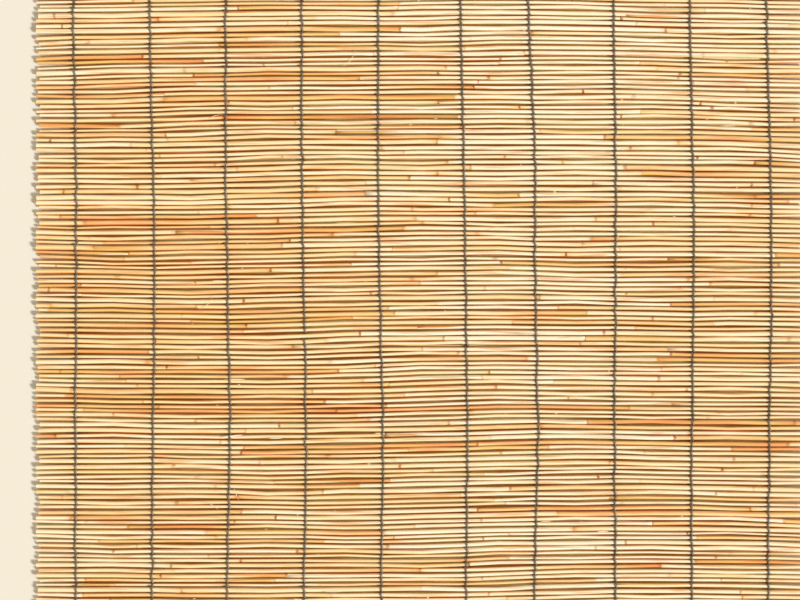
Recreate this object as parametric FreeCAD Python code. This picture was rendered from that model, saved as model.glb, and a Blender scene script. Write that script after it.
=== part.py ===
import FreeCAD, Part
import os
import random

# Reed screening, unrolled and lying flat. The reeds lie side by side along X, the mat runs along Y
# and +Z is up. The origin is on the floor, under the middle of the mat. Sizes are in millimetres.

# The mat
REED_LENGTH = 1000.0
MAT_LENGTH = 3000.0

# The reeds: peeled culms of uneven thickness, thicker at the butt than at the tip
REED_DIAMETER = 4.2
REED_DIAMETER_SCATTER = 1.0
REED_TAPER = 0.8
REED_END_SCATTER = 5.0
REED_SLANT = 3.0
REED_SEED = 14

# The wires: at each row a front strand runs over the reeds and a back strand under them
WIRE_DIAMETER = 2.2
WIRE_SPACING = 100.0
WIRE_RAMP = 8.0
WIRE_TAIL = 14.0

# Clearances: beside a wire where it passes between two reeds, and between a reed and a wire
PASSING_CLEARANCE = 0.1
SEAT_CLEARANCE = 0.1

# How the like pieces share files
REED_BANDS = 20

# What follows from the sizes above
REED_GAP = WIRE_DIAMETER + PASSING_CLEARANCE
REED_FLOOR = WIRE_DIAMETER + SEAT_CLEARANCE
HALF_MAT = MAT_LENGTH / 2
HALF_REED = REED_LENGTH / 2
HALF_WIRE = WIRE_DIAMETER / 2
WIRE_ROWS = round(REED_LENGTH / WIRE_SPACING)

# Half a flat of a regular eight-sided section, as a share of half its width across flats
OCTAGON_HALF_FLAT = 2 ** 0.5 - 1

LEFT, RIGHT = 0, 1
SIDES = (LEFT, RIGHT)


class Reed:
    """One reed: where its left and right ends are along X, and its diameter and centre at each."""

    def __init__(self, diameters, ends):
        self.diameters = diameters
        self.ends = ends
        self.centres = [0.0, 0.0]


def short_fall(rng):
    """How far a reed ends short of the mat's trimmed edge: about half of them reach it."""
    return max(0.0, rng.uniform(-REED_END_SCATTER, REED_END_SCATTER))


def draw_reeds():
    """Reeds in the order in which they are laid, as many as the mat's length holds."""
    rng = random.Random(REED_SEED)
    reeds = []
    covered = [0.0, 0.0]
    while True:
        middle = REED_DIAMETER + rng.uniform(-REED_DIAMETER_SCATTER, REED_DIAMETER_SCATTER)
        butt = middle + REED_TAPER / 2
        tip = middle - REED_TAPER / 2
        butt_left = covered[LEFT] - covered[RIGHT] < rng.uniform(-REED_SLANT, REED_SLANT)
        diameters = (butt, tip) if butt_left else (tip, butt)
        ends = (short_fall(rng) - HALF_REED, HALF_REED - short_fall(rng))
        if max(covered[side] + diameters[side] for side in SIDES) > MAT_LENGTH:
            return reeds
        reeds.append(Reed(diameters, ends))
        for side in SIDES:
            covered[side] += diameters[side] + REED_GAP


def place_reeds(reeds):
    """Lays the reeds from one end of the mat to the other, with even gaps at each of their ends."""
    for side in SIDES:
        free = MAT_LENGTH - sum(reed.diameters[side] for reed in reeds)
        gap = free / max(1, len(reeds) - 1)
        edge = -HALF_MAT
        for reed in reeds:
            reed.centres[side] = edge + reed.diameters[side] / 2
            edge += reed.diameters[side] + gap


def octagon(x, y, diameter):
    """The eight-sided section of a reed at x, standing on the back wires with one flat down."""
    half = diameter / 2
    corner = half * OCTAGON_HALF_FLAT
    z = REED_FLOOR + half
    outline = [
        (corner, -half), (half, -corner), (half, corner), (corner, half),
        (-corner, half), (-half, corner), (-half, -corner), (-corner, -half),
    ]
    points = [FreeCAD.Vector(x, y + across, z + up) for across, up in outline]
    return Part.makePolygon(points + points[:1])


def reed_solid(reed):
    """A tapered reed with its underside level, so that it bears on every back wire."""
    sections = [octagon(reed.ends[side], reed.centres[side], reed.diameters[side]) for side in SIDES]
    return Part.makeLoft(sections, True, True)


def offset_path(path, distance):
    """The path in the YZ plane, moved sideways by distance with mitred corners."""
    normals = []
    for (y0, z0), (y1, z1) in zip(path, path[1:]):
        run = ((y1 - y0) ** 2 + (z1 - z0) ** 2) ** 0.5
        normals.append(((z0 - z1) / run, (y1 - y0) / run))
    moved = []
    for i, (y, z) in enumerate(path):
        before = normals[max(i - 1, 0)]
        after = normals[min(i, len(normals) - 1)]
        mitre = 1 + before[0] * after[0] + before[1] * after[1]
        ny = (before[0] + after[0]) / mitre
        nz = (before[1] + after[1]) / mitre
        moved.append((y + distance * ny, z + distance * nz))
    return moved


def strand(x, z_run, z_tail):
    """One wire strand: its run across the reeds, a ramp past the last reed at each end, and a tail."""
    run_end = HALF_MAT
    ramp_end = run_end + WIRE_RAMP
    tail_end = ramp_end + WIRE_TAIL
    half_path = [(run_end, z_run), (ramp_end, z_tail), (tail_end, z_tail)]
    path = [(-y, z) for y, z in reversed(half_path)] + half_path
    outline = offset_path(path, HALF_WIRE) + offset_path(path, -HALF_WIRE)[::-1]
    points = [FreeCAD.Vector(x - HALF_WIRE, y, z) for y, z in outline]
    face = Part.Face(Part.makePolygon(points + points[:1]))
    return face.extrude(FreeCAD.Vector(WIRE_DIAMETER, 0, 0))


def wire_row(x, thickest):
    """The front and back strand of a row, side by side at their tails and clear of the reeds."""
    z_back = HALF_WIRE
    z_front = REED_FLOOR + thickest + SEAT_CLEARANCE + HALF_WIRE
    z_tail = (z_front + z_back) / 2
    front = strand(x + HALF_WIRE, z_front, z_tail)
    back = strand(x - HALF_WIRE, z_back, z_tail)
    return front, back


def save(name, solids):
    Part.makeCompound(solids).exportStep(os.path.join("parts", name + ".step"))


def main():
    os.makedirs("parts", exist_ok=True)
    reeds = draw_reeds()
    place_reeds(reeds)
    for band in range(REED_BANDS):
        first = band * len(reeds) // REED_BANDS
        last = (band + 1) * len(reeds) // REED_BANDS
        save(f"reeds_{band + 1:02d}", [reed_solid(reed) for reed in reeds[first:last]])
    thickest = max(max(reed.diameters) for reed in reeds)
    for row in range(WIRE_ROWS):
        x = (row - (WIRE_ROWS - 1) / 2) * WIRE_SPACING
        front, back = wire_row(x, thickest)
        save(f"front_wire_{row + 1:02d}", [front])
        save(f"back_wire_{row + 1:02d}", [back])
    print(len(reeds), "reeds in", REED_BANDS, "bands,", WIRE_ROWS, "wire rows")


main()
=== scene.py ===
import math

import bpy
import numpy as np
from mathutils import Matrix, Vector


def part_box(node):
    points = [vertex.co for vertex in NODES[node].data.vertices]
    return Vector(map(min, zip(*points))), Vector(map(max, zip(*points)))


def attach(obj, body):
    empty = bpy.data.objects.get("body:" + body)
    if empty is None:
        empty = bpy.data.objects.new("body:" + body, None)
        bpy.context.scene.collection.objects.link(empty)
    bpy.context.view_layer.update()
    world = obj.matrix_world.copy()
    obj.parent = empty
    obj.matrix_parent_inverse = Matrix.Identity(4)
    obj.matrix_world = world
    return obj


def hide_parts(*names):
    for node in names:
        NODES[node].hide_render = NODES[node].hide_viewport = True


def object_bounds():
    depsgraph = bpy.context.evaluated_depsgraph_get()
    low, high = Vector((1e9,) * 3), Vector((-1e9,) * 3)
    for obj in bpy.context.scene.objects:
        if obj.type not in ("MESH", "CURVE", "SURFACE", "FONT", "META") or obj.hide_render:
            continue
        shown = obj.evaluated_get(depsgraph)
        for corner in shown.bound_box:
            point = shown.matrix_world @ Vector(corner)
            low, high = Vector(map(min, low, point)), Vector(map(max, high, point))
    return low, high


# Reed screening lying flat. The reeds run along X, the mat along Y, +Z is up. Lengths are in metres and
# angles in radians, except where a name or a comment says otherwise.

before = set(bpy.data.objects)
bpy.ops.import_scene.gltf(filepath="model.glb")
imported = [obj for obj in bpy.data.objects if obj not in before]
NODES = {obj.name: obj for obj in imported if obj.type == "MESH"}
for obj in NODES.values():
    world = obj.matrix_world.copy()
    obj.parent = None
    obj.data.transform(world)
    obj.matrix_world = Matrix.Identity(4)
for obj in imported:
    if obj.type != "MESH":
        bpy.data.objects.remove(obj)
cad_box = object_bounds()

MM = 0.001
TURN = 2 * math.pi
PHASES = (0, 6.3)                # about a whole turn, from which a phase is drawn
SEED = 29
REED_NODES = sorted(name for name in NODES if name.startswith("reeds_"))
FRONT_WIRES = sorted(name for name in NODES if name.startswith("front_wire_"))
BACK_WIRES = sorted(name for name in NODES if name.startswith("back_wire_"))

# The photograph's scale and framing
PHOTO_WIDTH_PX = 800
PHOTO_HEIGHT_PX = 600
PX_PER_MM = 0.772
MAT_MIDDLE_PX = 421.4            # from the photograph's left edge

# A reed's section and its cut ends
REED_SIDES = 8
FULLNESS = 1.13                  # of a drawn reed's corners over half the frame's width across flats
FULLNESS_SCATTER = 0.17
UNROUND = 0.02                   # the share by which a corner is further from the reed's middle, or nearer
WALL = 0.55 * MM
LEAST_BORE = 0.4                 # the hollow's least radius, as a share of the reed's
BOTTOM = 0.9                     # the hollow's radius at its bottom over that at its mouth
HOLLOW_DEPTH = 9 * MM
RIM = 0.5 * MM                   # of a reed's end, over which its side's shading turns to that of the cut

# How the reeds lie
SHIFT = 0.34 * MM                # of a reed's ends from where the frame has them
STATION = 50 * MM                # between the sections of a reed, at the wires and midway between them
BOW = 0.65 * MM                  # how far a reed bows between two wires
BOW_LIMIT = 1.2 * MM
BOW_AT_WIRE = 0.15 * MM
LIFT = 0.15 * MM                 # how far a reed rises between two wires
LEAST_GAP = 0.15 * MM            # between two reeds, and where a wire passes between them
LEAST_GAP_AT_WIRE = 1.1 * MM
# How the reeds sway together: amplitude, wavelength along X and along Y in millimetres, and phase
SWAYS = [(2.6, 1100, 2600, 0.6), (0.9, 520, 620, 1.7), (0.45, 300, 170, 4.4), (0.25, 190, 97, 1.2)]
# Where two reeds bow apart: place along X and Y, half length, and how far each reed moves, in millimetres
OPEN_GAPS = [(20, -60, 95, 1.1), (-196, -250, 50, 0.8), (110, 215, 70, 0.7)]
# The row of wire that missed a reed, and that reed's place along Y
MISSED_ROW = "back_wire_04"
MISSED_Y = -50 * MM

# Nodes
INTERNODE = 290 * MM
INTERNODE_SCATTER = 75 * MM
INTERNODE_RANGE = (150 * MM, 440 * MM)
FIRST_NODE = (-0.25, 0.95)       # from a reed's butt, as a share of an internode
NODE_MARGIN = 12 * MM            # between a node and a reed's end, at the least
NODE_SIZE = (0.6, 1.15)          # of a reed's swellings over those of the profile
# The sections about a node: place along the reed towards its tip, and what is added to its radius, in
# millimetres
NODE_PROFILE = [(-7, 0.0), (-1.7, 0.10), (-0.5, 0.22), (0.5, 0.05), (2.2, 0.07), (8, 0.0)]
RING_SPACING = 4 * MM            # between a section at a station and the others, at the least

rng = np.random.default_rng(SEED)


def smoothstep(low, high, value):
    """Eases from 0 where the value is low to 1 where it is high."""
    t = np.clip((value - low) / (high - low), 0, 1)
    return t * t * (3 - 2 * t)


# Meshes

class Builder:
    """Gathers faces, point attributes and the map of one mesh."""

    def __init__(self):
        self.points = []
        self.faces = []
        self.maps = []
        self.smooth = []
        self.values = {}
        self.count = 0
        self.bits = 0

    def add_points(self, points, **values):
        """Adds points with their values, each one number or one for each point. Gives the first's index."""
        first = self.count
        self.points.append(np.asarray(points, float).reshape(-1, 3))
        number = len(self.points[-1])
        for name, value in values.items():
            filled = np.broadcast_to(np.asarray(value, float), (number,))
            self.values.setdefault(name, []).append(filled)
        self.count += number
        return first

    def add_faces(self, faces, maps, smooth=True):
        self.faces.extend(faces)
        self.maps.extend(maps)
        self.smooth.extend([smooth] * len(faces))

    def add_grid(self, first, rows, columns, u, v):
        """Faces between rings of points; u is the map's place of each ring, v of each column's edges."""
        row, column = np.meshgrid(np.arange(rows - 1), np.arange(columns), indexing="ij")
        row = row.ravel()
        column = column.ravel()
        beside = (column + 1) % columns
        near = first + row * columns
        far = near + columns
        quads = np.stack([near + column, near + beside, far + beside, far + column], axis=1)
        corners = ((row, column), (row, column + 1), (row + 1, column + 1), (row + 1, column))
        maps = np.stack([np.stack([u[r], v[c]], axis=1) for r, c in corners], axis=1)
        self.add_faces(quads.tolist(), maps.tolist())

    def add_cap(self, ring, u, v, radius):
        """One face over a ring of points, with its map as a small disc."""
        turn = np.linspace(0, TURN, len(ring), endpoint=False)
        disc = np.stack([u + radius * np.cos(turn), v + radius * np.sin(turn)], axis=1)
        self.add_faces([list(ring)], [disc.tolist()], smooth=False)

    def build(self, name, material):
        mesh = bpy.data.meshes.new(name)
        mesh.from_pydata(np.concatenate(self.points).tolist(), [], self.faces)
        mesh.polygons.foreach_set("use_smooth", self.smooth)
        for key, parts in self.values.items():
            attribute = mesh.attributes.new(key, "FLOAT", "POINT")
            attribute.data.foreach_set("value", np.concatenate(parts).astype(np.float32))
        layer = mesh.uv_layers.new(name="OFBake")
        flat = np.array([corner for face in self.maps for corner in face], np.float32)
        layer.data.foreach_set("uv", flat.ravel())
        mesh.materials.append(material)
        piece = bpy.data.objects.new(name, mesh)
        bpy.context.scene.collection.objects.link(piece)
        return piece


# Where the reeds lie

STATIONS_A_SIDE = round(cad_box[1].x / STATION)
STATIONS = np.arange(-STATIONS_A_SIDE, STATIONS_A_SIDE + 1) * STATION
AT_WIRE = np.abs(np.round(STATIONS / STATION)) % 2 == 1

# How the frame's reeds are read: a flat's share of an eight-sided section's width across flats, how
# level the lowest corners are, and the decimals to which corners at one place agree
FLAT_SHARE = math.sqrt(2) - 1
LEVEL = 0.02 * MM
DECIMALS = 7


class Reed:
    """One reed as the frame has it: its ends along X, and its centre and diameter at each end."""

    def __init__(self, node, left, right):
        self.node = node
        self.x = (left[0], right[0])
        self.y = (left[1], right[1])
        self.d = (left[2], right[2])
        self.butt_left = self.d[0] > self.d[1]
        self.pushes = []

    def centre_line(self, x):
        """The centre's Y and the radius without the nodes' swellings at x."""
        y = np.interp(x, self.x, self.y) + np.interp(x, self.x, self.shifts)
        radius = np.interp(x, self.x, self.d) / 2 * np.interp(x, self.x, self.fullness)
        bow = np.interp(x, STATIONS, self.bows)
        for middle, half_length, push in self.pushes:
            bow = bow + push * smoothstep(1, 0, np.abs(x - middle) / half_length)
        return y + sway(x, y) + bow, radius

    def place(self, x):
        """The centre's Y and Z, and the radius with the nodes' swellings, at x."""
        y, plain = self.centre_line(x)
        radius = plain + np.interp(x, self.ring_x, self.swell)
        z = reed_floor + plain + np.interp(x, STATIONS, self.lifts)
        return y, z, radius


def sway(x, y):
    """How far the reeds about a place lie from straight, all together."""
    total = 0.0
    for amplitude, along, across, phase in SWAYS:
        total = total + amplitude * MM * np.sin(TURN * (x / (along * MM) + y / (across * MM)) + phase)
    return total


def read_reeds(name):
    """A node's reeds, from the two lowest corners of the eight-sided section at each end of each."""
    corners = np.array([vertex.co for vertex in NODES[name].data.vertices])
    floor = corners[:, 2].min()
    lowest = corners[corners[:, 2] < floor + LEVEL]
    lowest = np.unique(np.round(lowest, DECIMALS), axis=0)
    ends = []
    for side in (lowest[lowest[:, 0] < 0], lowest[lowest[:, 0] > 0]):
        side = side[np.argsort(side[:, 1])]
        first, second = side[0::2], side[1::2]
        centre = (first[:, 1] + second[:, 1]) / 2
        diameter = (second[:, 1] - first[:, 1]) / FLAT_SHARE
        ends.append(np.stack([first[:, 0], centre, diameter], axis=1))
    return [Reed(name, left, right) for left, right in zip(*ends)], floor


def lay(reed, before):
    """Draws a reed's own bows and lifts, and keeps it out of the reed before it."""
    reed.shifts = rng.normal(0, SHIFT, 2)
    reed.fullness = FULLNESS + rng.uniform(-FULLNESS_SCATTER, FULLNESS_SCATTER, 2)
    bows = np.clip(rng.normal(0, BOW, len(STATIONS)), -BOW_LIMIT, BOW_LIMIT)
    bows_at_wire = rng.normal(0, BOW_AT_WIRE, len(STATIONS))
    reed.bows = np.where(AT_WIRE, bows_at_wire, bows)
    reed.lifts = np.where(AT_WIRE, 0.0, np.abs(rng.normal(0, LIFT, len(STATIONS))))
    if before:
        y, radius = reed.centre_line(STATIONS)
        y_before, radius_before = before.centre_line(STATIONS)
        least = np.where(AT_WIRE, LEAST_GAP_AT_WIRE, LEAST_GAP)
        reed.bows += np.clip(least - (y - radius - y_before - radius_before), 0, None)


def grow_nodes(reed):
    """Draws a reed's nodes, and works out where its sections are and how far each swells."""
    left, right = reed.x
    reed.towards_tip = 1 if reed.butt_left else -1
    reed.butt = left if reed.butt_left else right
    along = rng.uniform(*FIRST_NODE) * INTERNODE
    nodes = []
    while along < right - left - NODE_MARGIN:
        if along > NODE_MARGIN:
            nodes.append(along)
        along += np.clip(rng.normal(INTERNODE, INTERNODE_SCATTER), *INTERNODE_RANGE)
    reed.along_nodes = np.array(nodes)
    reed.nodes = reed.butt + reed.towards_tip * reed.along_nodes
    size = rng.uniform(*NODE_SIZE)
    rings = {x: 0.0 for x in (left, left + RIM, right - RIM, right)}
    for x in reed.nodes:
        for place, swell in NODE_PROFILE:
            rings[x + reed.towards_tip * place * MM] = swell * size * MM
    near = np.array(sorted(rings))
    for x in STATIONS[1:-1]:
        if np.abs(near - x).min() > RING_SPACING:
            rings[x] = 0.0
    reed.ring_x = np.array(sorted(x for x in rings if left <= x <= right))
    reed.swell = np.array([rings[x] for x in reed.ring_x])


def open_gap(x, y, half_length, push):
    """Bows the two reeds next to a place apart."""
    above = min((r for r in reeds if r.centre_line(x)[0] > y), key=lambda r: r.centre_line(x)[0])
    below = reeds[reeds.index(above) - 1]
    above.pushes.append((x, half_length, push))
    below.pushes.append((x, half_length, -push))


reeds = []
for name in REED_NODES:
    found, reed_floor = read_reeds(name)
    reeds += found

for reed, before in zip(reeds, [None] + reeds):
    lay(reed, before)
    grow_nodes(reed)

for gap in OPEN_GAPS:
    open_gap(*(size * MM for size in gap))


# Tones of the reeds, drawn for each stretch between two nodes. A tone is how brown the reed is, with
# painted shade on its flanks: 0 is pale, 0.4 straw, 0.95 orange and 1.7 brown.

# How brown the mat is about a place: in general, how that changes along X, and smaller waves
PATCH_TONE = 0.40
PATCH_CHANGE = 0.44
PATCH_LENGTH = 0.9               # along X, from one browner patch of the mat to the next
PATCH_SHIFT = 0.035              # of the patches towards -X
PATCH_WAVE = 0.1
# The smaller waves: radians a metre along X and along Y, and phase
PATCH_WAVES = [(0, 9, 1.0), (11, -5, 0.0)]

# The tone of a stretch: how much of the patch's it takes, what is added, and how much it scatters
TONE_TAKEN = 0.5
TONE_ADDED = -0.05
TONE_SCATTER = 0.12
# The share of the stretches that are orange: at the least, and what the brownest patch adds. Then the
# tones at which they begin and end.
ORANGE_LEAST = 0.05
ORANGE_MORE = 0.22
ORANGE_BEGIN = (0.4, 0.85)
ORANGE_END = (0.4, 0.95)
# The share of those that are or turn orange, over the share above, and the tones at which those that
# turn orange end
ORANGE_AND_TURNING = 2.2
TURNING_END = (0.35, 0.9)
# Those that turn a little browner: their share, and by how much
WARMING_SHARE = 0.25
WARMING = (0.05, 0.25)
# Where along a stretch its tone begins to turn, and over what share of the stretch
TURN_BEGINS = (0.1, 0.75)
TURN_TAKES = (0.1, 0.5)
LEAN = 0.6                       # how far a stretch's tone keeps to one side of the reed
RAGGED = 1.6 * MM                # of the tone's edge at a node
# Places from the butt of the nodes that end the first and the last stretch, outside the reed, and
# between which the middle of a stretch is taken to lie
NODE_BEFORE = -200 * MM
NODE_AFTER = 1200 * MM
MIDDLES = (0.05, 0.95)

# Where the browner flanks begin and end, as a share of the half width, and how brown they get; partly the
# reeds' own colour, partly painted shade where the reeds meet
FLANK_SHADE_ABOVE = (0.7, 1.0)
FLANK_SHADE_BELOW = (0.35, 0.9)
FLANK_AND_SHADE_TONES = [0.0, 0.1, 0.2, 0.3, 0.4, 0.5, 0.6, 0.8, 1.0]
FLANK_SCATTER = (0.8, 1.2)
FLANK_WAVE = 0.35                # by how much a flank's tone varies along a stretch
FLANK_WAVES = (2, 9)             # radians of that a stretch
PAINTED_SHADE_BELOW = (0.1, 1.5)          # painted shade: how much browner still the flanks are below the reed's middle

# Marks at the nodes
FAR_MM = 12.0                    # from a node, where nothing shows of its mark
MARK_STRENGTH = (0.3, 1.2)
MARK_SPREAD = 2.0                # how many times further the widest mark reaches
MARK_POWER = 4                   # the higher, the fewer wide marks
MARK_AROUND = 0.85               # round the reed, in general
MARK_VARIES = 0.45               # and how much that varies
HALO_TONE = (-0.1, 0.5)          # of the reed about a mark
HALO_LENGTH = 7 * MM
HALO_VARIES = 0.7                # round the reed


def browned(x, y):
    """How brown the mat is about a place, from 0 to 1: more left of its middle, less to the right."""
    brown = PATCH_TONE - PATCH_CHANGE * math.sin(TURN * (x + PATCH_SHIFT) / PATCH_LENGTH)
    for along, across, phase in PATCH_WAVES:
        brown = brown + PATCH_WAVE * math.sin(along * x + across * y + phase)
    return np.clip(brown, 0, 1)


def stretch_tone(brown):
    """How brown a stretch begins and ends: pale, straw, orange, or pale that turns orange."""
    begin = TONE_TAKEN * brown + TONE_ADDED + rng.uniform(-TONE_SCATTER, TONE_SCATTER)
    end = begin
    kind = rng.uniform()
    orange = ORANGE_LEAST + ORANGE_MORE * brown
    if kind < orange:
        begin = rng.uniform(*ORANGE_BEGIN)
        end = rng.uniform(*ORANGE_END)
    elif kind < ORANGE_AND_TURNING * orange:
        end = rng.uniform(*TURNING_END)
    elif kind < ORANGE_AND_TURNING * orange + WARMING_SHARE:
        end = begin + rng.uniform(*WARMING)
    return begin, end


def stretch_tones(reed, along, turn):
    """The tone of each corner of each section, at these places along the reed and angles round it, with
    painted shade on the flanks.
    """
    edges = np.concatenate([[NODE_BEFORE], reed.along_nodes, [NODE_AFTER]])
    middle_y = sum(reed.y) / 2
    # Painted shade: the flanks turn browner towards the sides, and more so below the middle, where shade
    # falls between the reeds.
    outward = np.abs(np.cos(turn))
    below = np.where(np.sin(turn) < 0, smoothstep(*FLANK_SHADE_BELOW, outward), 0.0)
    flank = np.where(np.sin(turn) < 0, below, smoothstep(*FLANK_SHADE_ABOVE, outward))
    far_side = np.cos(turn) > 0
    ragged = rng.uniform(-RAGGED, RAGGED, (len(edges), REED_SIDES))
    tone = np.zeros((len(along), REED_SIDES))
    for start, end, edge in zip(edges, edges[1:], ragged):
        middle_x = reed.butt + reed.towards_tip * np.clip((start + end) / 2, *MIDDLES)
        low, high = stretch_tone(browned(middle_x, middle_y))
        begin = rng.uniform(*TURN_BEGINS)
        share = (along - start) / (end - start)
        along_tone = low + (high - low) * smoothstep(begin, begin + rng.uniform(*TURN_TAKES), share)
        lean = 1 + LEAN * rng.uniform() * np.cos(turn - rng.uniform(0, TURN))
        sides = np.where(far_side, *rng.choice(FLANK_AND_SHADE_TONES, 2)) * rng.uniform(*FLANK_SCATTER)
        slow = 1 + FLANK_WAVE * np.sin(share * rng.uniform(*FLANK_WAVES) + rng.uniform(*PHASES))
        # Painted shade, browner still below the reed's middle
        shade_below = rng.uniform(*PAINTED_SHADE_BELOW) * below
        here = along_tone[:, None] * lean + flank * sides * slow[:, None] + shade_below
        tone = np.where(along[:, None] > start + edge, here, tone)
    return tone


def tones(reed, turn):
    """How brown each corner of each section is, with how far it is from a node and how marked that is."""
    along = (reed.ring_x - reed.butt) * reed.towards_tip
    tone = stretch_tones(reed, along, turn)
    distance = np.full(len(along), FAR_MM * MM)
    scar = np.zeros((len(along), REED_SIDES))
    for place in reed.along_nodes:
        offset = np.abs(along - place)
        mark = rng.uniform(*MARK_STRENGTH)
        wide = 1 + MARK_SPREAD * rng.uniform() ** MARK_POWER
        around = np.clip(MARK_AROUND + MARK_VARIES * np.cos(turn - rng.uniform(*PHASES)), 0, 1)
        scar = np.where((offset / wide < distance)[:, None], mark * around / wide, scar)
        distance = np.minimum(offset / wide, distance)
        halo = rng.uniform(*HALO_TONE) * mark * np.exp(-offset / HALO_LENGTH)
        tone = tone + halo[:, None] * (1 + HALO_VARIES * np.cos(turn - rng.uniform(*PHASES)))
    return tone, distance / MM, scar


# Meshes of the reeds

# How a band's map is shared: the reeds' part of its height, and the margin of each reed's part of that
REEDS_SHARE = 0.95
REED_MARGIN = 0.06
# A reed's place across the map: where its side begins and how long that is, and its ends' strips and disc
SIDE_BEGINS = 0.015
SIDE_LENGTH = 0.97
END_STRIP = 0.006
END_DISC = 0.004
INSIDE_TONE = 0.5


def add_reed(builder, reed, v_low, v_high):
    """A reed's tube, with its hollow cut ends."""
    x = reed.ring_x
    y, z, radius = reed.place(x)
    roll = rng.uniform(0, TURN / REED_SIDES)
    turn = -math.pi / 2 + roll + np.arange(REED_SIDES) * TURN / REED_SIDES
    tone, distance, scar = tones(reed, turn)
    uneven = 1 + rng.uniform(-UNROUND, UNROUND, REED_SIDES)
    wide = radius[:, None] * uneven[None, :]
    grid = np.stack([
        np.broadcast_to(x[:, None], wide.shape),
        y[:, None] + wide * np.cos(turn),
        z[:, None] + wide * np.sin(turn),
    ], axis=2)
    shade = rng.uniform()
    first = builder.add_points(
        grid,
        tone=tone.ravel(),
        node_mm=np.repeat(distance, REED_SIDES),
        scar=scar.ravel(),
        shade=shade,
        inside=0.0,
    )
    u = SIDE_BEGINS + SIDE_LENGTH * (x - x[0]) / (x[-1] - x[0])
    v = np.linspace(v_low, v_high, REED_SIDES + 1)
    builder.add_grid(first, len(x), REED_SIDES, u, v)
    for end, inward in ((0, 1), (len(x) - 1, -1)):
        rim = first + end * REED_SIDES + np.arange(REED_SIDES)
        middle = np.array([x[end], y[end], z[end]])
        add_hollow(builder, rim, middle, radius[end], turn, inward, v, shade)


def add_hollow(builder, rim, middle, radius, turn, inward, v, shade):
    """A reed's cut end: the wall's face inside its rim, and the hollow. Inward is 1 or -1 along X."""
    bore = max(radius - WALL, LEAST_BORE * radius)
    mouth = np.stack([0 * turn, np.cos(turn), np.sin(turn)], axis=1) * bore
    depth = np.array([inward * HOLLOW_DEPTH, 0, 0])
    first = builder.add_points(
        np.concatenate([middle + mouth, middle + mouth * BOTTOM + depth]),
        tone=INSIDE_TONE, node_mm=FAR_MM, scar=0.0, shade=shade, inside=1.0,
    )
    beside = (np.arange(REED_SIDES) + 1) % REED_SIDES
    near = first + np.arange(REED_SIDES)
    far = near + REED_SIDES
    wall = np.stack([rim, rim[beside], near[beside], near], axis=1)
    tube = np.stack([near, near[beside], far[beside], far], axis=1)
    bottom = far
    edge = 1.0
    if inward > 0:
        wall, tube, bottom = wall[:, ::-1], tube[:, ::-1], far[::-1]
        edge = 0.0
    strip = inward * END_STRIP
    for faces, u, smooth in ((wall, edge + strip, False), (tube, edge, True)):
        maps = [[[u, low], [u, high], [u + strip, high], [u + strip, low]] for low, high in zip(v, v[1:])]
        builder.add_faces(faces.tolist(), maps, smooth)
    builder.add_cap(bottom.tolist(), edge + strip, (v[0] + v[-1]) / 2, END_DISC)


# Sheath remnants, bark, splinters, chips and fibres

# The small bits' place in a band's map, above the reeds: how many lie beside each other, the margin of
# each across, where each begins and ends upwards, and the places and size of its ends' discs
BITS_A_ROW = 80
BIT_MARGIN = 0.1
BIT_HEIGHTS = (0.2, 0.9)
BIT_DISC_HEIGHT = 0.1
BIT_DISC_PLACES = (0.003, 0.006)
BIT_DISC = 0.001

# Remnants of sheath that clasp a reed above a node. Angles are round the reed.
SHEATHS_A_REED = 0.55
SHEATH_LENGTH = (25 * MM, 150 * MM)
SHEATH_SECTIONS = np.array([0.0, 0.15, 0.4, 0.65, 0.85, 0.95, 1.0])    # as shares of the length
SHEATH_OFF_TOP = 1.3
SHEATH_TWIST = 0.6               # from its foot to its point
SHEATH_HALF_WIDTH = (0.45, 1.2)
SHEATH_TAPER_FROM = 0.5          # as a share of the length
SHEATH_TAPER = 0.96              # how much of its width it has lost at its point
SHEATH_RISE = 0.3 * MM           # of its point off the reed
SHEATH_TONES = [(0.0, 0.25), (0.5, 1.2)]
SHELL_THICKNESS = 0.12 * MM      # of sheath and bark
SHELL_POINTS = 4                 # across each face of sheath and bark

# Strips of bark on a reed's flank, partly the reed's own bark, partly painted shade that darkens the gap.
# Angles are round the reed.
BARKS_A_REED = 1.0
BARK_LENGTH = (50 * MM, 320 * MM)
BARK_SECTIONS = np.array([0.0, 0.12, 0.35, 0.65, 0.88, 1.0])           # as shares of the length
BARK_LEVEL = (-0.35, 0.25)       # above the reed's widest place
BARK_WAVE = 0.15                 # by how much the level varies along it
BARK_WAVE_TURN = 3               # of that wave, from end to end
OTHER_FLANK_SHARE = 0.5          # of the strips, which lie on the flank towards -Y
BARK_HALF_WIDTH = (0.2, 0.5)
BARK_POINT = (0.08, 0.5)         # how wide its ends are, as a share, and how round its outline is
BARK_RISE = (0.1 * MM, 0.8 * MM)
BARK_AND_SHADE_TONE = (0.9, 1.6)

# Splinters, chips and fibres
LOOSE_X = (-0.46, 0.4)           # where splinters and fibres begin along X
PALE_TONE = (-0.1, 0.3)
SPLINTER_POINT = (0.06, 0.7)     # how wide a splinter's ends are, as a share, and how round its outline is
SPLINTERS_A_BAND = 3
SPLINTER_LENGTH = (12 * MM, 45 * MM)
SPLINTER_SLOPE = 0.05
SPLINTER_WIDTH = (1.2 * MM, 2.6 * MM)
SPLINTER_THICKNESS = 0.35 * MM
SPLINTER_TONES = [PALE_TONE, (0.4, 0.9)]
SPLINTER_DEPTH = 0.2 * MM        # below the reeds' tops
SPLINTER_REACH = 3 * MM          # of the reeds it lies on
SPLINTER_SECTIONS = 6
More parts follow.
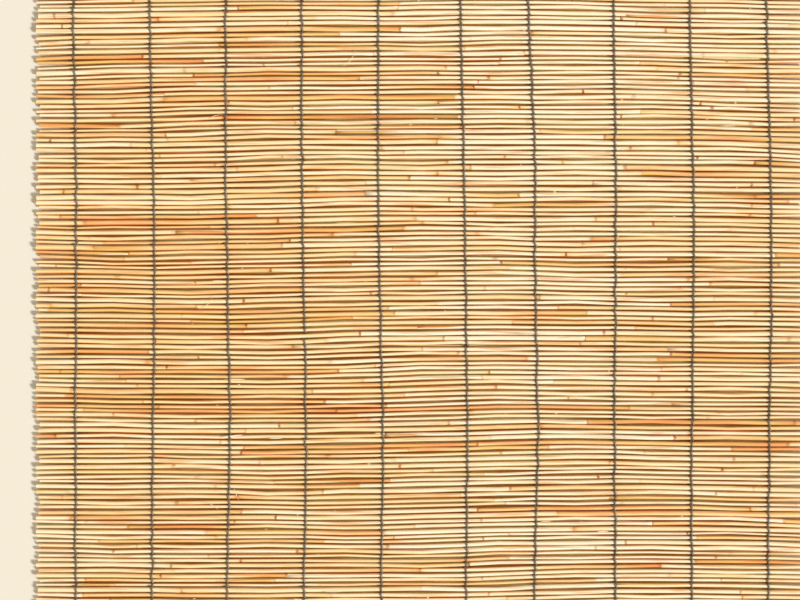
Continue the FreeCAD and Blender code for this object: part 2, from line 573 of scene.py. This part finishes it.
# Those in the photograph: start along X and Y, length, slope, width, depth below the reeds' tops, and
# tone. Lengths are in millimetres.
SEEN_SPLINTERS = [
    (-199, -179, 19, 0.0, 2.2, 0.1, -0.1),
    (-262, -178, 31, 0.1, 2.6, -0.4, 0.0),
    (-243.4, -243.5, 18, -2.6, 1.0, -0.2, -0.2),
    (-35, -59, 112, 0.0, 2.6, 3.2, 1.25),
    (-235, -250, 80, 0.0, 2.4, 4.0, 1.5),
]
SEEN_SECTIONS = 8

CHIPS_A_BAND = 9
CHIP_X = (-0.47, 0.46)           # where chips begin along X
CHIP_LENGTH = (1.5 * MM, 5 * MM)
CHIP_OFF = (0.3 * MM, 1.2 * MM)  # from the side of the reed it lies beside
CHIP_ASKEW = 0.8 * MM
CHIP_HEIGHT = (0.1, 0.75)        # above the reed's middle, as a share of its radius
CHIP_WIDTH = (0.8 * MM, 1.8 * MM)
CHIP_THICKNESS = 0.5 * MM
CHIP_TONES = [PALE_TONE, (0.5, 1.4)]
CHIP_SECTIONS = 4

FIBRES_A_BAND = 1
FIBRE_LENGTH = (10 * MM, 30 * MM)
FIBRE_CURL = 0.5
FIBRE_WIDTH = 0.7 * MM
FIBRE_THICKNESS = 0.5 * MM
FIBRE_TONE = (-0.1, 0.2)
FIBRE_LIFT = 0.2 * MM
FIBRE_REACH = 8 * MM             # of the reeds it lies on
FIBRE_SECTIONS = 7


def bits_height(share):
    """A height in a band's map, from a share of the part that belongs to the small bits."""
    return REEDS_SHARE + share * (1 - REEDS_SHARE)


def either(first, second):
    """A number drawn from one of two ranges."""
    return rng.choice([rng.uniform(*first), rng.uniform(*second)])


def pointed(t, end, power):
    """The width of a bit that narrows to both ends, at shares t of its length."""
    return end + (1 - end) * np.sin(math.pi * t) ** power


def add_bit(builder, rings, tone):
    """A small closed piece through rings of points, all of the same number, with ends that are capped."""
    rows, columns = rings.shape[:2]
    low = (builder.bits % BITS_A_ROW) / BITS_A_ROW
    builder.bits += 1
    first = builder.add_points(rings, tone=tone, node_mm=FAR_MM, scar=0.0, shade=rng.uniform(), inside=0.0)
    last = first + (rows - 1) * columns
    u = np.linspace(low + BIT_MARGIN / BITS_A_ROW, low + (1 - BIT_MARGIN) / BITS_A_ROW, rows)
    v = np.linspace(*(bits_height(share) for share in BIT_HEIGHTS), columns + 1)
    builder.add_grid(first, rows, columns, u, v)
    caps = (range(first, first + columns)[::-1], range(last, last + columns))
    for ring, place in zip(caps, BIT_DISC_PLACES):
        builder.add_cap(ring, u[0] + place, bits_height(BIT_DISC_HEIGHT), BIT_DISC)


def add_shell(builder, reed, x, middle, half, rise, tone):
    """A thin shell on a reed: the angle of its middle and half its width, and how far it stands off."""
    y, z, radius = reed.place(x)
    outer = radius + SHELL_THICKNESS + rise
    angle = middle[:, None] + half[:, None] * np.linspace(-1, 1, SHELL_POINTS)
    reach = np.repeat(outer[:, None], SHELL_POINTS, axis=1)
    angle = np.concatenate([angle, angle[:, ::-1]], axis=1)
    reach = np.concatenate([reach, reach - SHELL_THICKNESS], axis=1)
    rings = np.stack([
        np.broadcast_to(x[:, None], reach.shape),
        y[:, None] + reach * np.cos(angle),
        z[:, None] + reach * np.sin(angle),
    ], axis=2)
    add_bit(builder, rings[np.argsort(x)], tone)


def add_sheath(builder, reed, node_x):
    """A remnant of sheath: it clasps the reed above a node and ends in a ragged point."""
    t = SHEATH_SECTIONS
    x = node_x + reed.towards_tip * rng.uniform(*SHEATH_LENGTH) * t
    if x.min() < reed.x[0] or x.max() > reed.x[1]:
        return
    foot = math.pi / 2 + rng.uniform(-SHEATH_OFF_TOP, SHEATH_OFF_TOP)
    middle = foot + rng.uniform(-SHEATH_TWIST, SHEATH_TWIST) * t ** 2
    half = rng.uniform(*SHEATH_HALF_WIDTH) * (1 - SHEATH_TAPER * smoothstep(SHEATH_TAPER_FROM, 1, t))
    rise = rng.uniform(0, SHEATH_RISE) * t ** 3
    add_shell(builder, reed, x, middle, half, rise, either(*SHEATH_TONES))


def add_bark_and_gap_shade(builder, reed):
    """A strip of dark bark left along a reed's flank, where it fills part of the gap: partly bark, partly
    painted shade.
    """
    t = BARK_SECTIONS
    length = rng.uniform(*BARK_LENGTH)
    x = rng.uniform(reed.x[0], reed.x[1] - length) + length * t
    level = rng.uniform(*BARK_LEVEL)
    middle = level + rng.uniform(-BARK_WAVE, BARK_WAVE) * np.cos(BARK_WAVE_TURN * t)
    if rng.uniform() < OTHER_FLANK_SHARE:
        middle = math.pi - middle
    half = rng.uniform(*BARK_HALF_WIDTH) * pointed(t, *BARK_POINT)
    rise = rng.uniform(*BARK_RISE) * np.sin(math.pi * t)
    add_shell(builder, reed, x, middle, half, rise, rng.uniform(*BARK_AND_SHADE_TONE))


def add_splinter(builder, line, width, thickness, tone):
    """A flat sliver along a line, pointed at both ends."""
    t = np.linspace(0, 1, len(line))
    wide = width * pointed(t, *SPLINTER_POINT) / 2
    along = np.gradient(line[:, :2], axis=0)
    along /= np.linalg.norm(along, axis=1)[:, None]
    side = np.stack([-along[:, 1], along[:, 0], 0 * t], axis=1) * wide[:, None]
    up = np.array([0, 0, thickness / 2])
    add_bit(builder, np.stack([line - side, line - up, line + side, line + up], axis=1), tone)


def lie_on_reeds(x, y, reach):
    """The height of the highest reed within reach of a place."""
    tops = [r.place(x) for r in reeds if abs(r.centre_line(x)[0] - y) < reach]
    return max([z + radius for _, z, radius in tops], default=reed_floor)


def level_line(x, y, z, run, slope, sections):
    """A straight level line from a place: how far it runs along X, and its slope towards Y."""
    return np.array([(x + run * t, y + slope * run * t, z) for t in np.linspace(0, 1, sections)])


def add_loose_bits(builder, members):
    """The splinters, chips and fibres on one band of reeds."""
    low, high = members[0].y[0], members[-1].y[0]
    for _ in range(SPLINTERS_A_BAND):
        x, y = rng.uniform(*LOOSE_X), rng.uniform(low, high)
        length, slope = rng.uniform(*SPLINTER_LENGTH), rng.uniform(-SPLINTER_SLOPE, SPLINTER_SLOPE)
        z = lie_on_reeds(x, y, SPLINTER_REACH) - SPLINTER_DEPTH
        line = level_line(x, y, z, length, slope, SPLINTER_SECTIONS)
        tone = either(*SPLINTER_TONES)
        add_splinter(builder, line, rng.uniform(*SPLINTER_WIDTH), SPLINTER_THICKNESS, tone)
    for x, y, length, slope, width, depth, tone in SEEN_SPLINTERS:
        if low <= y * MM < high:
            z = lie_on_reeds(x * MM, y * MM, SPLINTER_REACH) - depth * MM
            run = length * MM / math.hypot(1, slope)
            line = level_line(x * MM, y * MM, z, run, slope, SEEN_SECTIONS)
            add_splinter(builder, line, width * MM, SPLINTER_THICKNESS, tone)
    for _ in range(CHIPS_A_BAND):
        add_chip(builder, members[rng.integers(len(members))])
    for _ in range(FIBRES_A_BAND):
        x, y = rng.uniform(*LOOSE_X), rng.uniform(low, high)
        add_fibre(builder, x, y, rng.uniform(*FIBRE_LENGTH), rng.uniform(0, math.pi))


def add_chip(builder, reed):
    """A chip of reed caught in the gap beside a reed."""
    start, length = rng.uniform(*CHIP_X), rng.uniform(*CHIP_LENGTH)
    t = np.linspace(0, 1, CHIP_SECTIONS)
    x = start + length * t
    y, z, radius = reed.place(x)
    y = y + radius + rng.uniform(*CHIP_OFF) + rng.uniform(-CHIP_ASKEW, CHIP_ASKEW) * t
    z = z + radius * rng.uniform(*CHIP_HEIGHT)
    tone = either(*CHIP_TONES)
    add_splinter(builder, np.stack([x, y, z], axis=1), rng.uniform(*CHIP_WIDTH), CHIP_THICKNESS, tone)


def add_fibre(builder, x, y, length, heading):
    """A thin pale fibre that lies across the reeds."""
    z = lie_on_reeds(x, y, FIBRE_REACH) + FIBRE_LIFT
    line = []
    for t in np.linspace(0, 1, FIBRE_SECTIONS):
        turn = heading + FIBRE_CURL * t
        line.append((x + length * t * math.cos(turn), y + length * t * math.sin(turn), z))
    add_splinter(builder, np.array(line), FIBRE_WIDTH, FIBRE_THICKNESS, rng.uniform(*FIBRE_TONE))


# Wires

WIRE_RADIUS = 1.1 * MM
STRAND_RADIUS = 1.32 * MM        # of a drawn strand's corners
WIRE_SIDES = 5
WIRE_STEPS = 6                   # sections of a strand from one gap between reeds to the next
PAIR_OFFSET = 1.5 * MM           # of each strand from the middle of the pair, where they pass
WIRE_LIFT = 0.6 * MM             # of the pair above the reeds' middles, where they pass
JITTER = 0.7 * MM                # of the pair to either side, in each gap
TAIL = 21 * MM
TAIL_TWIST = 5.5 * MM
TAIL_STEPS = 24

# How a row wanders: amplitude and wavelength along Y in millimetres, and phase, for all rows alike, and
# then a wave of its own with some share of its amplitude
WANDER = [(2.6, 1500, 1.95), (1.1, 610, 0.4)]
WANDER_OWN = 1.3 * MM
WANDER_OWN_SHARE = (0.4, 1.0)
WANDER_OWN_LENGTH = 900 * MM
# How far each row in the photograph strays sideways, in pixels, at five heights in pixels
STRAY_HEIGHTS_PX = [0, 150, 300, 430, 600]
STRAY_PX = {
    "back_wire_03": [-3, -3, -1, 2, -2],
    "back_wire_04": [-4, -4, -2, 1, -2],
    "back_wire_05": [-4, -5, -3, 1, -2],
    "back_wire_06": [0, 4, 6, 8, 6],
    "back_wire_07": [-9, -2, -2, 2, -3],
}
STRAY_FADE = 260 * MM            # past the photograph, over which a row turns to its own wander
STRAY_PLACES = 400               # at which a row's path is worked out
STRAY_EASE = 8                   # places on each side over which a row's path is evened out

# How a row's map is shared: a strand's part of its height, into how many stripes that is cut, where a
# stripe begins and ends across, its margin upwards, and the places and size of the strand's ends' discs
STRAND_SHARE = 0.5
STRIPES_A_STRAND = 12
STRIPE_LENGTH = (0.01, 0.99)
STRIPE_MARGIN = 0.1
STRAND_DISC_PLACES = (0.005, 0.995)
STRAND_DISC_HEIGHT = 0.01
STRAND_DISC = 0.003


def stray_line(name, row_x):
    """Where a row runs: places along Y, and its X at each, as photographed where it can be seen."""
    y = np.linspace(cad_box[0].y, cad_box[1].y, STRAY_PLACES)
    amplitude = rng.uniform(*WANDER_OWN_SHARE) * WANDER_OWN
    x = amplitude * np.sin(TURN * y / WANDER_OWN_LENGTH + rng.uniform(*PHASES))
    for amplitude, along, phase in WANDER:
        x = x + amplitude * MM * np.sin(TURN * y / (along * MM) + phase)
    if name in STRAY_PX:
        seen_y = (PHOTO_HEIGHT_PX / 2 - np.array(STRAY_HEIGHTS_PX)) / PX_PER_MM * MM
        seen = np.interp(y, seen_y[::-1], np.array(STRAY_PX[name][::-1]) / PX_PER_MM * MM)
        x = x + (seen - x) * (1 - smoothstep(0, STRAY_FADE, np.abs(y) - seen_y[0]))
    window = 2 * STRAY_EASE + 1
    x = np.convolve(np.pad(x, STRAY_EASE, "edge"), np.ones(window) / window, "valid")
    return y, row_x + x


def crossings(stray):
    """Where a row crosses the reeds: each reed's middle along Y and Z, how far from that a strand runs,
    and the places along Y and Z of the gaps before, between and after the reeds."""
    places = np.array([reed.place(np.interp(sum(reed.y) / 2, *stray)) for reed in reeds])
    y, z = places[:, 0], places[:, 1]
    reach = places[:, 2] + WIRE_RADIUS
    gap_y = (y[:-1] + reach[:-1] + y[1:] - reach[1:]) / 2
    gap_z = (z[:-1] + z[1:]) / 2 + WIRE_LIFT
    gap_y = np.concatenate([[y[0] - reach[0]], gap_y, [y[-1] + reach[-1]]])
    gap_z = np.concatenate([[z[0]], gap_z, [z[-1]]])
    return y, z, reach, gap_y, gap_z


def tail_line(stray, start, jitter, side, way):
    """A strand's tail from a place along Y and Z past the last reed, where the two strands twist round
    each other. Way is 1 or -1 along Y, and side is the strand's side of the pair there, 1 or -1."""
    phase = 0.0 if side > 0 else math.pi
    line = []
    for step in range(TAIL_STEPS + 1):
        out = TAIL * step / TAIL_STEPS
        turn = phase + way * TURN * out / TAIL_TWIST
        y = start[0] + way * out
        line.append((
            np.interp(y, *stray) + jitter + PAIR_OFFSET * math.cos(turn),
            y,
            start[1] + PAIR_OFFSET * math.sin(turn),
        ))
    return line


def strand_line(stray, crossed, jitter, first_side, missed):
    """The centre line of one strand: over one reed, under the next, changing sides in each gap.
    Both strands of a row run straight on under the reed that it missed."""
    y, z, reach, gap_y, gap_z = crossed
    side = first_side
    line = []
    for i in range(len(reeds)):
        x = np.interp(y[i], *stray) + jitter[i]
        line.append((x + side * PAIR_OFFSET, gap_y[i], gap_z[i]))
        for step in range(1, WIRE_STEPS):
            t = step / WIRE_STEPS
            turn = math.pi * t
            sideways = side if i == missed else side * math.cos(turn)
            upward = -1 if i == missed else side
            line.append((
                x + PAIR_OFFSET * sideways + (jitter[i + 1] - jitter[i]) * t,
                y[i] - reach[i] * math.cos(turn),
                z[i] + upward * reach[i] * math.sin(turn),
            ))
        if i != missed:
            side = -side
    before = tail_line(stray, (gap_y[0], gap_z[0]), jitter[0], first_side, -1)
    after = tail_line(stray, (gap_y[-1], gap_z[-1]), jitter[-1], side, 1)
    path = np.array(before[:0:-1] + line + after)
    path[:, 2] = np.maximum(path[:, 2], STRAND_RADIUS)
    return path


def add_strand(builder, line, v_first):
    """A tube of few sides along a line that never runs along X."""
    tangent = np.gradient(line, axis=0)
    tangent /= np.linalg.norm(tangent, axis=1)[:, None]
    sideways = np.array([1.0, 0, 0]) - tangent[:, :1] * tangent
    sideways /= np.linalg.norm(sideways, axis=1)[:, None]
    upward = np.cross(tangent, sideways)
    turn = np.arange(WIRE_SIDES) * TURN / WIRE_SIDES + math.pi / 2
    grid = (
        line[:, None, :]
        + STRAND_RADIUS * np.cos(turn)[None, :, None] * sideways[:, None, :]
        + STRAND_RADIUS * np.sin(turn)[None, :, None] * upward[:, None, :]
    )
    first = builder.add_points(grid)
    last = first + (len(line) - 1) * WIRE_SIDES
    per_stripe = math.ceil((len(line) - 1) / STRIPES_A_STRAND)
    height = STRAND_SHARE / STRIPES_A_STRAND
    for stripe in range(STRIPES_A_STRAND):
        begin = stripe * per_stripe
        rows = min(per_stripe, len(line) - 1 - begin) + 1
        u = np.linspace(*STRIPE_LENGTH, rows)
        low = v_first + stripe * height
        v = np.linspace(low + STRIPE_MARGIN * height, low + (1 - STRIPE_MARGIN) * height, WIRE_SIDES + 1)
        builder.add_grid(first + begin * WIRE_SIDES, rows, WIRE_SIDES, u, v)
    caps = (range(first, first + WIRE_SIDES)[::-1], range(last, last + WIRE_SIDES))
    for ring, place in zip(caps, STRAND_DISC_PLACES):
        builder.add_cap(ring, place, v_first + STRAND_DISC_HEIGHT, STRAND_DISC)


# Materials

# Colours as seen on screen: red, green and blue, 0 to 255
PALE = (255, 242, 218)
PALE_CREAM = (254, 236, 202)
STRAW = (252, 223, 169)
GOLDEN = (240, 195, 118)
ORANGE = (241, 165, 98)
OLIVE = (182, 132, 58)
RUSSET = (206, 95, 40)
STAIN = (234, 158, 90)
SCAR = (176, 92, 32)
HOLLOW = (196, 150, 92)
WIRE_DARK = (112, 100, 84)
WIRE_LIGHT = (168, 156, 136)
# The colour of the painted shade on a wire low between the reeds
WIRE_PAINTED_SHADE = (106, 66, 18)
FLOOR_PALE = (232, 226, 214)
# Colours of the painted shade on the floor under the mat, seen between the reeds
UNDER_MAT_SHADE_PALE = (246, 236, 186)
UNDER_MAT_SHADE_BROWN = (212, 158, 82)
SKY = (255, 243, 212)

# The tones over which a reed turns from pale to straw, on to orange, and on to brown
TO_STRAW = (0.0, 0.45)
TO_ORANGE = (0.35, 0.95)
TO_BROWN = (0.9, 1.7)

# Where the mix node has its factor, its two colours and their mix among its sockets
MIX_FACTOR = 0
MIX_FIRST = 6
MIX_SECOND = 7
MIX_RESULT = 2

NOISE_MIDDLE = 0.5
STREAK_TONE = 0.5                # by how much the streaks change the tone, and then the mottle
MOTTLE_TONE = 0.5
DRIFT_EDGES = (0.42, 0.58)       # of the noise that turns reeds from golden to orange
STAIN_EDGES = (0.56, 0.68)       # of the noise that stains them
STAIN_STRENGTH = 0.6
SCAR_RAGGED_MM = 5.0
SCAR_EDGES_MM = (0.3, 2.2)       # from a node, over which its mark fades
GLOSS_EDGES = (0.2, 0.8)         # of the streaks that change a reed's roughness
REED_ROUGHNESS = (0.42, 0.62)
REED_SPECULAR = 0.3
BUMP_STRENGTH = 0.35
BUMP_HEIGHT = 0.12 * MM

PATINA_EDGES = (0.35, 0.7)       # of the noise that turns a wire from dark to light
SHADE_HEIGHTS = (5 * MM, 8.5 * MM)   # painted shade: between which the browner depths of a wire between the reeds turn grey
SHADE_STRENGTH = 0.95
WIRE_GLOSS_EDGES = (0.3, 0.7)    # of the patina that changes a wire's roughness
WIRE_ROUGHNESS = (0.62, 0.44)
WIRE_METALLIC = 0.5


def linear(colour):
    """A colour of the screen, 0 to 255, in scene linear light, by the curve of sRGB."""
    parts = [value / 255 for value in colour]
    return [c / 12.92 if c <= 0.04045 else ((c + 0.055) / 1.055) ** 2.4 for c in parts] + [1.0]


def new_material(name):
    material = bpy.data.materials.new(name)
    material.use_nodes = True
    tree = material.node_tree
    return material, tree, tree.nodes["Principled BSDF"]


def node(tree, kind, **settings):
    made = tree.nodes.new(kind)
    for key, value in settings.items():
        setattr(made, key, value)
    return made


def attribute(tree, name):
    return node(tree, "ShaderNodeAttribute", attribute_name=name).outputs["Fac"]


def math_node(tree, operation, first, second=0.0, third=0.0):
    made = node(tree, "ShaderNodeMath", operation=operation)
    for socket, value in zip(made.inputs, (first, second, third)):
        if isinstance(value, (int, float)):
            socket.default_value = value
        else:
            tree.links.new(value, socket)
    return made.outputs[0]


def ranged(tree, value, low, high, to_low=0.0, to_high=1.0):
    """Eases from to_low where the value is low to to_high where it is high."""
    made = node(tree, "ShaderNodeMapRange", interpolation_type="SMOOTHSTEP")
    tree.links.new(value, made.inputs["Value"])
    for name, number in zip(("From Min", "From Max", "To Min", "To Max"), (low, high, to_low, to_high)):
        made.inputs[name].default_value = number
    return made.outputs["Result"]


def mixed(tree, factor, first, second):
    """A mix of two colours, each a link or a colour of the screen."""
    made = node(tree, "ShaderNodeMix", data_type="RGBA")
    for place, value in ((MIX_FACTOR, factor), (MIX_FIRST, first), (MIX_SECOND, second)):
        if isinstance(value, tuple):
            made.inputs[place].default_value = linear(value)
        else:
            tree.links.new(value, made.inputs[place])
    return made.outputs[MIX_RESULT]


def varied(tree, value, noise_value, amount):
    """A value that a noise raises or lowers by up to half the amount."""
    change = math_node(tree, "SUBTRACT", noise_value, NOISE_MIDDLE)
    return math_node(tree, "MULTIPLY_ADD", change, amount, value)


def object_place(tree):
    return node(tree, "ShaderNodeTexCoord").outputs["Object"]


def axes_of(tree, place):
    separate = node(tree, "ShaderNodeSeparateXYZ")
    tree.links.new(place, separate.inputs[0])
    return separate.outputs


def noise(tree, size, stretch=(1, 1, 1), detail=2.0, roughness=0.5):
    """Noise over the object, with features of about this size, times the stretch along each axis."""
    mapping = node(tree, "ShaderNodeMapping")
    mapping.inputs["Scale"].default_value = [1 / size / share for share in stretch]
    tree.links.new(object_place(tree), mapping.inputs["Vector"])
    made = node(tree, "ShaderNodeTexNoise")
    made.inputs["Scale"].default_value = 1.0
    made.inputs["Detail"].default_value = detail
    made.inputs["Roughness"].default_value = roughness
    tree.links.new(mapping.outputs["Vector"], made.inputs["Vector"])
    return made.outputs["Fac"]


def reed_material():
    """Pale to brown by the tone, painted flank shade included, with streaks, stains, marks at the nodes and
    browner hollows.
    """
    material, tree, shader = new_material("reed_cane")
    streaks = noise(tree, size=0.9 * MM, stretch=(60, 1, 1), detail=3.0)
    mottle = noise(tree, size=9 * MM, stretch=(3.5, 0.4, 0.4), detail=3.0, roughness=0.6)
    stains = noise(tree, size=4 * MM, stretch=(18, 0.7, 0.7))
    ragged = noise(tree, size=2.2 * MM)
    drift = ranged(tree, noise(tree, size=14 * MM, stretch=(12, 0.5, 0.5)), *DRIFT_EDGES)
    tone = varied(tree, attribute(tree, "tone"), streaks, STREAK_TONE)
    tone = varied(tree, tone, mottle, MOTTLE_TONE)
    colour = mixed(tree, attribute(tree, "shade"), PALE, PALE_CREAM)
    colour = mixed(tree, ranged(tree, tone, *TO_STRAW), colour, STRAW)
    colour = mixed(tree, ranged(tree, tone, *TO_ORANGE), colour, mixed(tree, drift, GOLDEN, ORANGE))
    colour = mixed(tree, ranged(tree, tone, *TO_BROWN), colour, mixed(tree, drift, OLIVE, RUSSET))
    colour = mixed(tree, ranged(tree, stains, *STAIN_EDGES, 0.0, STAIN_STRENGTH), colour, STAIN)
    distance = varied(tree, attribute(tree, "node_mm"), ragged, SCAR_RAGGED_MM)
    faded = ranged(tree, distance, *SCAR_EDGES_MM, 1.0, 0.0)
    colour = mixed(tree, math_node(tree, "MULTIPLY", faded, attribute(tree, "scar")), colour, SCAR)
    colour = mixed(tree, attribute(tree, "inside"), colour, HOLLOW)
    tree.links.new(colour, shader.inputs["Base Color"])
    tree.links.new(ranged(tree, streaks, *GLOSS_EDGES, *REED_ROUGHNESS), shader.inputs["Roughness"])
    bump = node(tree, "ShaderNodeBump")
    bump.inputs["Strength"].default_value = BUMP_STRENGTH
    bump.inputs["Distance"].default_value = BUMP_HEIGHT
    tree.links.new(streaks, bump.inputs["Height"])
    tree.links.new(bump.outputs["Normal"], shader.inputs["Normal"])
    shader.inputs["Specular IOR Level"].default_value = REED_SPECULAR
    return material


def wire_material():
    """Dull grey with a lighter patina, and browner low down with painted shade."""
    material, tree, shader = new_material("dull_wire")
    patina = noise(tree, size=3 * MM, detail=4.0, roughness=0.65)
    height = axes_of(tree, object_place(tree))["Z"]
    # Painted shade: browner low down, where the strands dive between the reeds.
    painted_shade = ranged(tree, height, *SHADE_HEIGHTS, SHADE_STRENGTH, 0.0)
    grey = mixed(tree, ranged(tree, patina, *PATINA_EDGES), WIRE_DARK, WIRE_LIGHT)
    tree.links.new(mixed(tree, painted_shade, grey, WIRE_PAINTED_SHADE), shader.inputs["Base Color"])
    tree.links.new(ranged(tree, patina, *WIRE_GLOSS_EDGES, *WIRE_ROUGHNESS), shader.inputs["Roughness"])
    shader.inputs["Metallic"].default_value = WIRE_METALLIC
    return material


# Pieces

reed_look = reed_material()
wire_look = wire_material()

for band, node_name in enumerate(REED_NODES):
    members = [reed for reed in reeds if reed.node == node_name]
    builder = Builder()
    stripe = REEDS_SHARE / len(members)
    for i, reed in enumerate(members):
        add_reed(builder, reed, (i + REED_MARGIN) * stripe, (i + 1 - REED_MARGIN) * stripe)
        for place in reed.nodes:
            if rng.uniform() < SHEATHS_A_REED / len(reed.nodes):
                add_sheath(builder, reed, place)
        for _ in range(rng.poisson(BARKS_A_REED)):
            add_bark_and_gap_shade(builder, reed)
    add_loose_bits(builder, members)
    piece = builder.build(f"reed_band_{band + 1:02d}", reed_look)
    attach(piece, "root")
    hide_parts(node_name)

for row, (front, back) in enumerate(zip(FRONT_WIRES, BACK_WIRES)):
    _, front_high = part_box(front)
    back_low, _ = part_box(back)
    row_x = (back_low.x + front_high.x) / 2
    stray = stray_line(back, row_x)
    crossed = crossings(stray)
    jitter = rng.normal(0, JITTER, len(reeds) + 1)
    missed = None
    if back == MISSED_ROW:
        missed = min(range(len(reeds)), key=lambda i: abs(reeds[i].centre_line(row_x)[0] - MISSED_Y))
    builder = Builder()
    for strand, first_side in enumerate((1, -1)):
        line = strand_line(stray, crossed, jitter, first_side, missed)
        add_strand(builder, line, STRAND_SHARE * strand)
    piece = builder.build(f"twisted_wires_{row + 1:02d}", wire_look)
    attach(piece, "root")
    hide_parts(front, back)


# The stage

FLOOR_SIZE = 300
FLOOR_ROUGHNESS = 0.9
UNDER_MAT_SHADE_EDGE = 60 * MM              # over which the floor turns browner under the mat, as painted shade
UNDER_MAT_SHADE_NOISE = (0.4, 0.62)         # of the noise that turns the painted shade under the mat browner
SKY_STRENGTH = 0.42
CAMERA_LENS_MM = 85


def lit_floor():
    """A pale floor, with browner painted shade under the mat, seen between the reeds."""
    material, tree, shader = new_material("pale_floor")
    place = axes_of(tree, object_place(tree))
    # Painted shade: the floor under the mat is browner, seen in the gaps between the reeds.
    under = 1.0
    for axis, half in (("X", cad_box[1].x), ("Y", cad_box[1].y)):
        out = math_node(tree, "ABSOLUTE", place[axis])
        under = math_node(tree, "MULTIPLY", ranged(tree, out, half - UNDER_MAT_SHADE_EDGE, half, 1.0, 0.0), under)
    brown = ranged(tree, noise(tree, size=16 * MM, stretch=(12, 0.8, 1)), *UNDER_MAT_SHADE_NOISE)
    colour = mixed(tree, under, FLOOR_PALE, mixed(tree, brown, UNDER_MAT_SHADE_PALE, UNDER_MAT_SHADE_BROWN))
    tree.links.new(colour, shader.inputs["Base Color"])
    shader.inputs["Roughness"].default_value = FLOOR_ROUGHNESS
    mesh = bpy.data.meshes.new("floor")
    half = FLOOR_SIZE / 2
    corners = [(-half, -half, 0), (half, -half, 0), (half, half, 0), (-half, half, 0)]
    mesh.from_pydata(corners, [], [(0, 1, 2, 3)])
    mesh.materials.append(material)
    floor = bpy.data.objects.new("floor", mesh)
    bpy.context.scene.collection.objects.link(floor)


def lamp(name, azimuth, tilt, spread, strength):
    """A distant soft lamp, tilted from straight above, that lights the floor evenly. Angles in degrees."""
    azimuth, tilt = math.radians(azimuth), math.radians(tilt)
    towards = Vector((
        math.sin(tilt) * math.cos(azimuth), math.sin(tilt) * math.sin(azimuth), math.cos(tilt),
    ))
    data = bpy.data.lights.new(name, "SUN")
    data.angle = math.radians(spread)
    data.energy = strength
    made = bpy.data.objects.new(name, data)
    made.location = towards
    made.rotation_euler = (-towards).to_track_quat("-Z", "Y").to_euler()
    bpy.context.scene.collection.objects.link(made)


def sky():
    """Even soft light from all around."""
    made = bpy.data.worlds.new("studio")
    made.use_nodes = True
    background = made.node_tree.nodes["Background"]
    background.inputs["Color"].default_value = linear(SKY)
    background.inputs["Strength"].default_value = SKY_STRENGTH
    bpy.context.scene.world = made


def top_camera():
    """Straight above the mat, at the photograph's scale, with the wire rows where it has them."""
    data = bpy.data.cameras.new("camera")
    data.lens = CAMERA_LENS_MM
    wide = PHOTO_WIDTH_PX / PX_PER_MM * MM
    distance = wide * data.lens / data.sensor_width
    camera = bpy.data.objects.new("camera", data)
    off = (PHOTO_WIDTH_PX / 2 - MAT_MIDDLE_PX) / PX_PER_MM * MM
    camera.location = (off, 0, distance + cad_box[1].z)
    data.clip_end = FLOOR_SIZE
    bpy.context.scene.collection.objects.link(camera)
    bpy.context.scene.camera = camera


lit_floor()
sky()
lamp("lamp_key", azimuth=-30, tilt=50, spread=11.5, strength=3.06)
lamp("lamp_fill", azimuth=125, tilt=42, spread=28, strength=0.45)
top_camera()
bpy.context.scene.view_settings.view_transform = "Standard"
